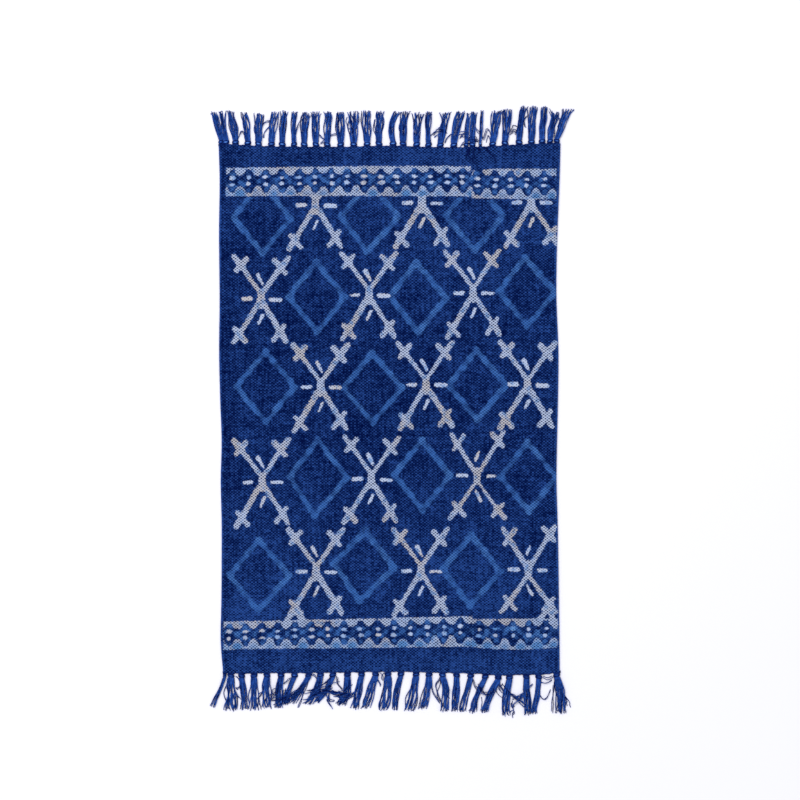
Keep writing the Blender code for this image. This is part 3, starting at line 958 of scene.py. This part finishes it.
def straight_tube(rings, sides):
    """A tube along Z of unit radius, one unit between rings, with a UV map round and along it."""
    bm = bmesh.new()
    layer = bm.loops.layers.uv.new("ply")
    bmesh.ops.create_circle(bm, segments=sides, radius=1)
    ring = bm.edges[:]
    for _ in range(rings - 1):
        drawn = bmesh.ops.extrude_edge_only(bm, edges=ring)["geom"]
        bmesh.ops.translate(
            bm, vec=(0, 0, 1), verts=[g for g in drawn if isinstance(g, bmesh.types.BMVert)]
        )
        ring = [
            g for g in drawn
            if isinstance(g, bmesh.types.BMEdge) and len(g.link_faces) == 1
        ]
    bmesh.ops.holes_fill(bm, edges=[e for e in bm.edges if len(e.link_faces) == 1], sides=sides)
    bmesh.ops.recalc_face_normals(bm, faces=bm.faces)
    for face in bm.faces:
        middle = face.calc_center_median()
        home = math.atan2(middle.y, middle.x)
        for loop in face.loops:
            turn = math.atan2(loop.vert.co.y, loop.vert.co.x)
            turn = home + (turn - home + math.pi) % (2 * math.pi) - math.pi
            loop[layer].uv = (turn / (2 * math.pi), loop.vert.co.z)
    # Bending mirrors the tube, which turns its faces outward again
    bmesh.ops.reverse_faces(bm, faces=bm.faces)
    mesh = bpy.data.meshes.new("straight_tube")
    bm.to_mesh(mesh)
    bm.free()
    return mesh


def frames_along(paths):
    """Two directions square to each path at each of its points."""
    along = np.gradient(paths, axis=1)
    along /= np.linalg.norm(along, axis=2, keepdims=True) + 1e-12
    side = np.cross(along, (0, 0, 1.0))
    side /= np.linalg.norm(side, axis=2, keepdims=True) + 1e-12
    return side, np.cross(side, along)


def bend_tubes(bm, paths, radii, tones, sides=YARN_SIDES):
    """Adds a tube along each path to the bmesh.

    paths holds a place for each yarn and point, radii and tones a number for each.
    """
    count, rings = radii.shape
    template = straight_tube(rings, sides)
    places = places_of(template)
    ring = np.rint(places[:, 2]).astype(int)
    side, up = frames_along(paths)
    reach = radii[:, ring, None]
    bent = paths[:, ring] + reach * (
        places[:, 0, None] * side[:, ring] + places[:, 1, None] * up[:, ring]
    )
    tone_layer = bm.verts.layers.float.get("tone") or bm.verts.layers.float.new("tone")
    steps = np.linalg.norm(np.diff(paths, axis=1), axis=2).mean(1)
    # Nothing sinks into the floor
    bent[..., 2] = np.maximum(bent[..., 2], 0)
    for k in range(count):
        first = len(bm.verts)
        first_face = len(bm.faces)
        bm.from_mesh(template)
        bm.verts.ensure_lookup_table()
        bm.faces.ensure_lookup_table()
        for v, co in zip(bm.verts[first:], bent[k]):
            v.co = co
        for v, shade in zip(bm.verts[first:], tones[k][ring]):
            v[tone_layer] = shade
        layer = bm.loops.layers.uv["ply"]
        for face in bm.faces[first_face:]:
            for loop in face.loops:
                loop[layer].uv.y *= steps[k]
    bpy.data.meshes.remove(template)


# How far the knot reaches from the cloth's edge, and half its neck's width for each yarn in it
KNOT_REACH = 7.0 * MM
NECK_PER_YARN = 0.62 * MM
NECK_MOST = 5.4 * MM
# Each yarn's points from inside the cloth to the knot, and from the knot to the tip
ROOT_POINTS = 5
BODY_POINTS = 19
# Each turn's points, from one side of the knot over its top to the other
KNOT_POINTS = 13


def tassel_paths(tassel, end, edges, yarn, chance):
    """The path of each yarn, from inside the cloth's edge through the knot to its tip."""
    middle = (tassel.root + TASSEL_SHIFT) * MM
    neck_half = min(NECK_PER_YARN * tassel.yarns, NECK_MOST)
    paths, radii, tones = [], [], []
    t = np.linspace(0, 1, BODY_POINTS)
    count = tassel.yarns + (3 if tassel.yarns > 5 else 1)
    for i in range(count):
        place = 2 * (i + 0.5) / count - 1
        level = (i % 2) + chance.uniform(-0.15, 0.35)
        radius = yarn / 2 * chance.uniform(0.85, 1.12)
        warp_x = middle + place * (neck_half + 1.2 * MM)
        edge_y = edges.end_y(end, warp_x)
        knot_y = edges.end_y(end, middle)
        roots = [
            (warp_x, edge_y - end * 3.0 * MM, 1.5 * MM),
            (warp_x, edge_y + end * 0.3 * MM, 1.7 * MM),
            (middle + (warp_x - middle) * 0.7, edge_y + end * 1.6 * MM, 1.9 * MM),
            (middle + place * neck_half * 0.8, knot_y + end * 4.0 * MM, (1.4 + 1.1 * level) * MM),
            (middle + place * neck_half * 0.8, knot_y + end * 5.6 * MM, (1.5 + 1.2 * level) * MM),
        ]
        wander = sum(
            np.sin(2 * math.pi * (chance.uniform(0.3, 1.3) * t + chance.random()))
            for _ in range(2)
        ) * 0.18 * smooth(t * 2)
        # The yarns spread from the knot to the tip, more at first
        narrow, broad = neck_half * 0.85, tassel.spread * 0.53 * MM
        half = narrow + (broad - narrow) * t**0.5
        length = (tassel.length + chance.uniform(-3.4, 1.2)) * MM - KNOT_REACH + 2 * MM
        curl = chance.uniform(-2.6, 2.6) * MM * np.clip((t - 0.78) / 0.22, 0, 1) ** 2
        x = middle + (tassel.tip - tassel.root) * MM * t + tassel.bow * MM * 4 * t * (1 - t)
        x = x + half * (place + wander) + curl
        y = knot_y + end * (KNOT_REACH + (length - np.abs(curl) * 0.5) * t)
        # Each sinks from its level in the knot to the floor or onto its neighbours
        rest = radius + chance.random() ** 2 * 1.6 * MM
        z = rest + ((1.7 + 1.1 * level) * MM - rest) * (1 - smooth(t * 2.2))
        z = z + 0.25 * MM * np.sin(2 * math.pi * (2.3 * t + chance.random())) * smooth(t * 3)
        body = np.stack([x, y, np.maximum(z, radius * 0.95)], axis=1)
        paths.append(np.concatenate([np.array(roots), body]))
        swell = 1 + 0.10 * np.sin(2 * math.pi * (3.1 * t + chance.random()))
        swell[-1] *= 0.55
        swell[-2] *= 0.9
        radii.append(radius * np.concatenate([[0.9, 0.9, 0.85, 0.8, 0.8], swell]))
        # Even yarns, the lower layer, get a darker tone as painted shade under the upper ones, on
        # top of each yarn's own random dye; the points inside the cloth and under the knot are
        # darker still, painted shade
        shade = np.full(ROOT_POINTS + BODY_POINTS, (0.0, 0.35)[i % 2] + chance.uniform(0, 0.5))
        shade[:ROOT_POINTS] *= 0.3
        tones.append(shade)
    return np.array(paths), np.array(radii), np.array(tones)


def knot_paths(tassel, end, edges, yarn, chance):
    """The turns of yarn that lie over the tassel's neck."""
    middle = (tassel.root + TASSEL_SHIFT) * MM
    knot_y = edges.end_y(end, middle) + end * 1.6 * MM
    half = min(NECK_PER_YARN * tassel.yarns, NECK_MOST - 0.4 * MM)
    turns = 2 if tassel.yarns < 5 else 3
    slant = chance.choice((-1, 1)) * chance.uniform(0.3, 1.4) * MM
    phi = np.linspace(-1.75, 1.75, KNOT_POINTS)
    paths, radii, tones = [], [], []
    for k in range(turns):
        row = (k + 0.5) / turns
        lift = (2.5 + 1.0 * math.sin(math.pi * row)) * MM * chance.uniform(0.9, 1.08)
        x = middle + half * np.sin(phi) * (0.86 + 0.2 * math.sin(math.pi * row))
        y = knot_y + end * (row * 5.4 * MM) + slant * np.sin(phi)
        z = 1.0 * MM + lift * np.cos(phi)
        paths.append(np.stack([x, y, np.maximum(z, 0.5 * MM)], axis=1))
        radii.append(np.full(KNOT_POINTS, yarn * 0.62 * chance.uniform(0.95, 1.15)))
        # Painted highlight and shade: each turn is light only at its top middle and dark down its
        # sides, the middle turn brightest, head knots brighter than foot knots
        painted_highlight = chance.uniform(1.0, 1.8) if end == HEAD else chance.uniform(0.3, 1.1)
        tones.append((0.1, painted_highlight, 0.0)[k] * np.cos(phi * 0.85) ** 8 + 0.05)
    return np.array(paths), np.array(radii), np.array(tones)


def frayed_ends(paths, radii, tones, chance):
    """Loose fibres that carry on from each yarn's tip."""
    tips, thin, shades = [], [], []
    for path, radius, tone in zip(paths, radii, tones):
        way = path[-1] - path[-3]
        way /= np.linalg.norm(way)
        across = np.array((way[1], -way[0], 0))
        for _ in range(2):
            reach = chance.uniform(1.2, 3.0) * MM
            bend = chance.uniform(-1.6, 1.6) * MM
            t = np.linspace(0, 1, 5)[:, None]
            hair = path[-1] + way * (reach * (t - 0.2)) + across * (bend * t**2)
            hair[:, 2] = np.maximum(hair[:, 2], 0.35 * MM)
            tips.append(hair)
            thin.append(radius.max() * np.array([0.6, 0.56, 0.5, 0.42, 0.25]))
            shades.append(np.full(5, tone[-1] + 0.15))
    return np.array(tips), np.array(thin), np.array(shades)


STRAY_POINTS = 22
# Half the width of a loop, in millimetres
LOOP_SIZE = 4.0
# How thick a stray is as a share of a yarn, and its darkest and lightest tone
StrayKind = namedtuple("StrayKind", "thick darkest lightest")
ON_CLOTH = StrayKind(0.5, -0.3, -0.2)
IN_TANGLE = StrayKind(0.38, -0.2, 0.6)
ALONE = StrayKind(0.33, 0, 0.6)


def stray_paths(rows, end, edges, yarn, chance):
    """Yarns from the table, on the floor or over their neighbours."""
    t = np.linspace(0, 1, STRAY_POINTS)
    paths, radii, tones = [], [], []
    for row in rows:
        # Three or more side by side are a tangle, and one that starts inward lies on the cloth
        tangled = row.yarns > 2
        kind = ON_CLOTH if row.out1 < 0 else IN_TANGLE if tangled else ALONE
        loose = 0.2 if tangled else 0.07
        for k in range(row.yarns):
            beside = (k - (row.yarns - 1) / 2) * chance.uniform(1.1, 2.0) * (-1) ** (k * tangled)
            early, late = chance.uniform(-loose, loose), chance.uniform(-loose, loose)
            share = early + (1 + late - early) * t
            turn = 2 * math.pi * row.loops * t
            wobble = (2.2 if tangled else 0.7) * np.sin(2 * math.pi * (1.4 * t + chance.random()))
            wobble = wobble * np.sin(math.pi * t) + chance.uniform(-6, 6) * loose * t**2 * 4
            x = row.x1 + (row.x2 - row.x1) * share + row.sway * np.sin(math.pi * t) + wobble
            arch = row.arch + chance.uniform(-20, 20) * loose
            out = row.out1 + (row.out2 - row.out1) * share + arch * np.sin(math.pi * t)
            if row.loops:
                x = x + LOOP_SIZE * np.sin(turn)
                out = out + LOOP_SIZE * (1 - np.cos(turn))
            slope = abs(row.x2 - row.x1) > abs(row.out2 - row.out1)
            x, out = (x, out + beside) if slope else (x + beside, out + wobble)
            rest = yarn * 0.42 / MM
            z = rest + (row.height + 0.4 * (k % 2) - rest) * np.sin(math.pi * t) ** 0.5
            if kind is ON_CLOTH:
                z = np.full_like(t, row.height)
            y = edges.end_y(end, x * MM) + end * out * MM
            paths.append(np.stack([x * MM, y, np.maximum(z, rest) * MM], axis=1))
            taper = np.ones_like(t)
            taper[0] = taper[-1] = 0.55
            radii.append(yarn * kind.thick * taper)
            tones.append(np.full(STRAY_POINTS, chance.uniform(kind.darkest, kind.lightest)))
    return np.array(paths), np.array(radii), np.array(tones)


def edge_cord_path(end, edges):
    """The last weft, a thick dark cord along the cloth's end."""
    line = edges.head if end == HEAD else edges.foot
    x = np.linspace(line[0, 0] + 2 * MM, line[-1, 0] - 2 * MM, 190)
    wobble = 0.35 * MM * np.sin(x / (2.1 * MM)) + 0.3 * MM * np.sin(x / (5.3 * MM))
    y = edges.end_y(end, x) + end * (wobble - 0.7 * MM)
    path = np.stack([x, y, 1.6 * MM + 0 * x], axis=1)
    radius = 1.15 * MM * (1 + 0.2 * np.sin(x / (1.7 * MM)))
    return path[None], radius[None], np.full((1, len(x)), 0.12)


# The sheet's cells across and along it
COLUMNS, ROWS = 234, 364


def fine_sheet(edges, thickness, ripple):
    """A closed sheet on the cloth's outline, whose face slowly rises and falls."""
    bm = bmesh.new()
    bmesh.ops.create_grid(bm, x_segments=COLUMNS, y_segments=ROWS, size=0.5)
    shares = np.clip(np.array([v.co[:2] for v in bm.verts]) + 0.5, 0, 1)
    places = edges.spread(shares[:, 0], shares[:, 1])
    rise = ripple * (0.5 + 0.5 * ripple_field(*places.T / MM))
    # The face rounds down over the last millimetres to each edge
    inward = (np.minimum(shares, 1 - shares) * FLAT_SIZE / MM).min(axis=1)
    rounding = 0.9 * MM * (1 - smooth(inward / 3.5))
    heights = thickness - 0.3 * MM + rise - rounding
    for v, place, height in zip(bm.verts, places, heights):
        v.co = (*place, height)
    rim = [e for e in bm.edges if e.is_boundary]
    wall = bmesh.ops.extrude_edge_only(bm, edges=rim)["geom"]
    for v in (g for g in wall if isinstance(g, bmesh.types.BMVert)):
        v.co.z = 0.2 * MM
    bmesh.ops.holes_fill(bm, edges=[e for e in bm.edges if e.is_boundary], sides=0)
    bmesh.ops.recalc_face_normals(bm, faces=bm.faces)
    return bm


class RUG_OT_cloth(bpy.types.Operator):
    """Weave the cloth and lay out its print"""

    bl_idname = "rug.cloth"
    bl_label = "Cloth"

    def execute(self, context):
        settings = context.scene.rug_cloth
        edges = ClothEdges()
        low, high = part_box("cloth")
        thickness = high[2] - low[2]
        cotton = plain_weave_cotton(settings, context.scene.rug_print)
        sheet = fine_sheet(edges, thickness, settings.ripple)
        cloth = object_from(sheet, "woven_cloth", cotton)
        places = places_of(cloth.data)
        x, y = places[:, :2].T / MM
        # The paste soaked through weakly, so the underside shows no print
        under = places[:, 2] < thickness / 2
        for name, values in {**print_fields(x, y), "dye": dye_field(x, y, edges)}.items():
            bare = KEPT_DISTANCE if name in ("pale", "blue") else 0.0
            set_attribute(cloth.data, name, np.where(under, bare, values))
        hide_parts("cloth")
        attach(cloth, "root")
        return {"FINISHED"}


class RUG_OT_tassels(bpy.types.Operator):
    """Knot the warp ends into tassels at both ends"""

    bl_idname = "rug.tassels"
    bl_label = "Tassels"

    def execute(self, context):
        settings = context.scene.rug_fringe
        material = plied_cotton(settings)
        edges = ClothEdges()
        for name, end, node, tassels, strays in (
            ("head_tassels", HEAD, "head_fringe", HEAD_TASSELS, HEAD_STRAYS),
            ("foot_tassels", FOOT, "foot_fringe", FOOT_TASSELS, FOOT_STRAYS),
        ):
            chance = random.Random(name)
            bm = bmesh.new()
            for tassel in tassels:
                yarns = tassel_paths(tassel, end, edges, settings.yarn, chance)
                bend_tubes(bm, *yarns)
                bend_tubes(bm, *frayed_ends(*yarns, chance), sides=3)
                bend_tubes(bm, *knot_paths(tassel, end, edges, settings.yarn, chance))
            bend_tubes(bm, *stray_paths(strays, end, edges, settings.yarn, chance))
            bend_tubes(bm, *edge_cord_path(end, edges))
            piece = object_from(bm, name, material)
            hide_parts(node)
            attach(piece, "root")
        return {"FINISHED"}


class RUG_OT_stage(bpy.types.Operator):
    """Set the floor, the light and the camera"""

    bl_idname = "rug.stage"
    bl_label = "Stage"

    # What the photograph's frame takes in at the floor, and where its middle lies
    VIEW_WIDTH = 1.4222
    VIEW_MIDDLE = (0.0150, 0.0195)
    FLOOR_SIZE = 12.0
    SENSOR = 36.0

    def execute(self, context):
        settings = context.scene.rug_stage
        bm = bmesh.new()
        bmesh.ops.create_grid(bm, x_segments=4, y_segments=4, size=self.FLOOR_SIZE / 2)
        floor = object_from(bm, "floor", matt_paper(settings))

        world = bpy.data.worlds.new("studio")
        world.use_nodes = True
        back = world.node_tree.nodes["Background"]
        back.inputs["Color"].default_value = (*settings.sky_colour, 1.0)
        back.inputs["Strength"].default_value = settings.sky
        context.scene.world = world

        lamp = bpy.data.lights.new("soft_box", "AREA")
        lamp.shape = "SQUARE"
        lamp.size = 2.4
        lamp.energy = settings.lamp
        lamp.color = settings.lamp_colour
        box = bpy.data.objects.new("soft_box", lamp)
        box.location = (-2.0, 1.8, 4.0)
        box.rotation_euler = (-box.location).to_track_quat("-Z", "Y").to_euler()
        context.scene.collection.objects.link(box)

        camera = bpy.data.cameras.new("camera")
        camera.sensor_width = self.SENSOR
        camera.lens = self.SENSOR * settings.camera_height / self.VIEW_WIDTH
        camera.clip_end = 50
        eye = bpy.data.objects.new("camera", camera)
        eye.location = (*self.VIEW_MIDDLE, settings.camera_height)
        context.scene.collection.objects.link(eye)
        context.scene.camera = eye
        context.scene.view_settings.view_transform = "Standard"
        return {"FINISHED"}


class RUG_PT_panel(bpy.types.Panel):
    """The rug's settings and its making, in order"""

    bl_label = "Rug"
    bl_idname = "RUG_PT_panel"
    bl_space_type = "VIEW_3D"
    bl_region_type = "UI"
    bl_category = "Rug"

    def draw(self, context):
        layout = self.layout
        for operator in OPERATORS:
            layout.operator(operator.bl_idname)
        for name in SETTINGS:
            box = layout.box()
            group = getattr(context.scene, name)
            for prop in group.bl_rna.properties:
                if prop.identifier not in {"rna_type", "name"}:
                    box.prop(group, prop.identifier)


OPERATORS = (RUG_OT_cloth, RUG_OT_tassels, RUG_OT_stage)
SETTINGS = {
    "rug_cloth": RugClothSettings,
    "rug_print": RugPrintSettings,
    "rug_fringe": RugFringeSettings,
    "rug_stage": RugStageSettings,
}


def register():
    for group in SETTINGS.values():
        bpy.utils.register_class(group)
    for name, group in SETTINGS.items():
        setattr(bpy.types.Scene, name, bpy.props.PointerProperty(type=group))
    for cls in (*OPERATORS, RUG_PT_panel):
        bpy.utils.register_class(cls)


def unregister():
    for cls in (RUG_PT_panel, *reversed(OPERATORS)):
        bpy.utils.unregister_class(cls)
    for name in SETTINGS:
        delattr(bpy.types.Scene, name)
    for group in SETTINGS.values():
        bpy.utils.unregister_class(group)


def main():
    register()
    bpy.ops.rug.cloth()
    bpy.ops.rug.tassels()
    bpy.ops.rug.stage()


if __name__ == "__main__":
    main()
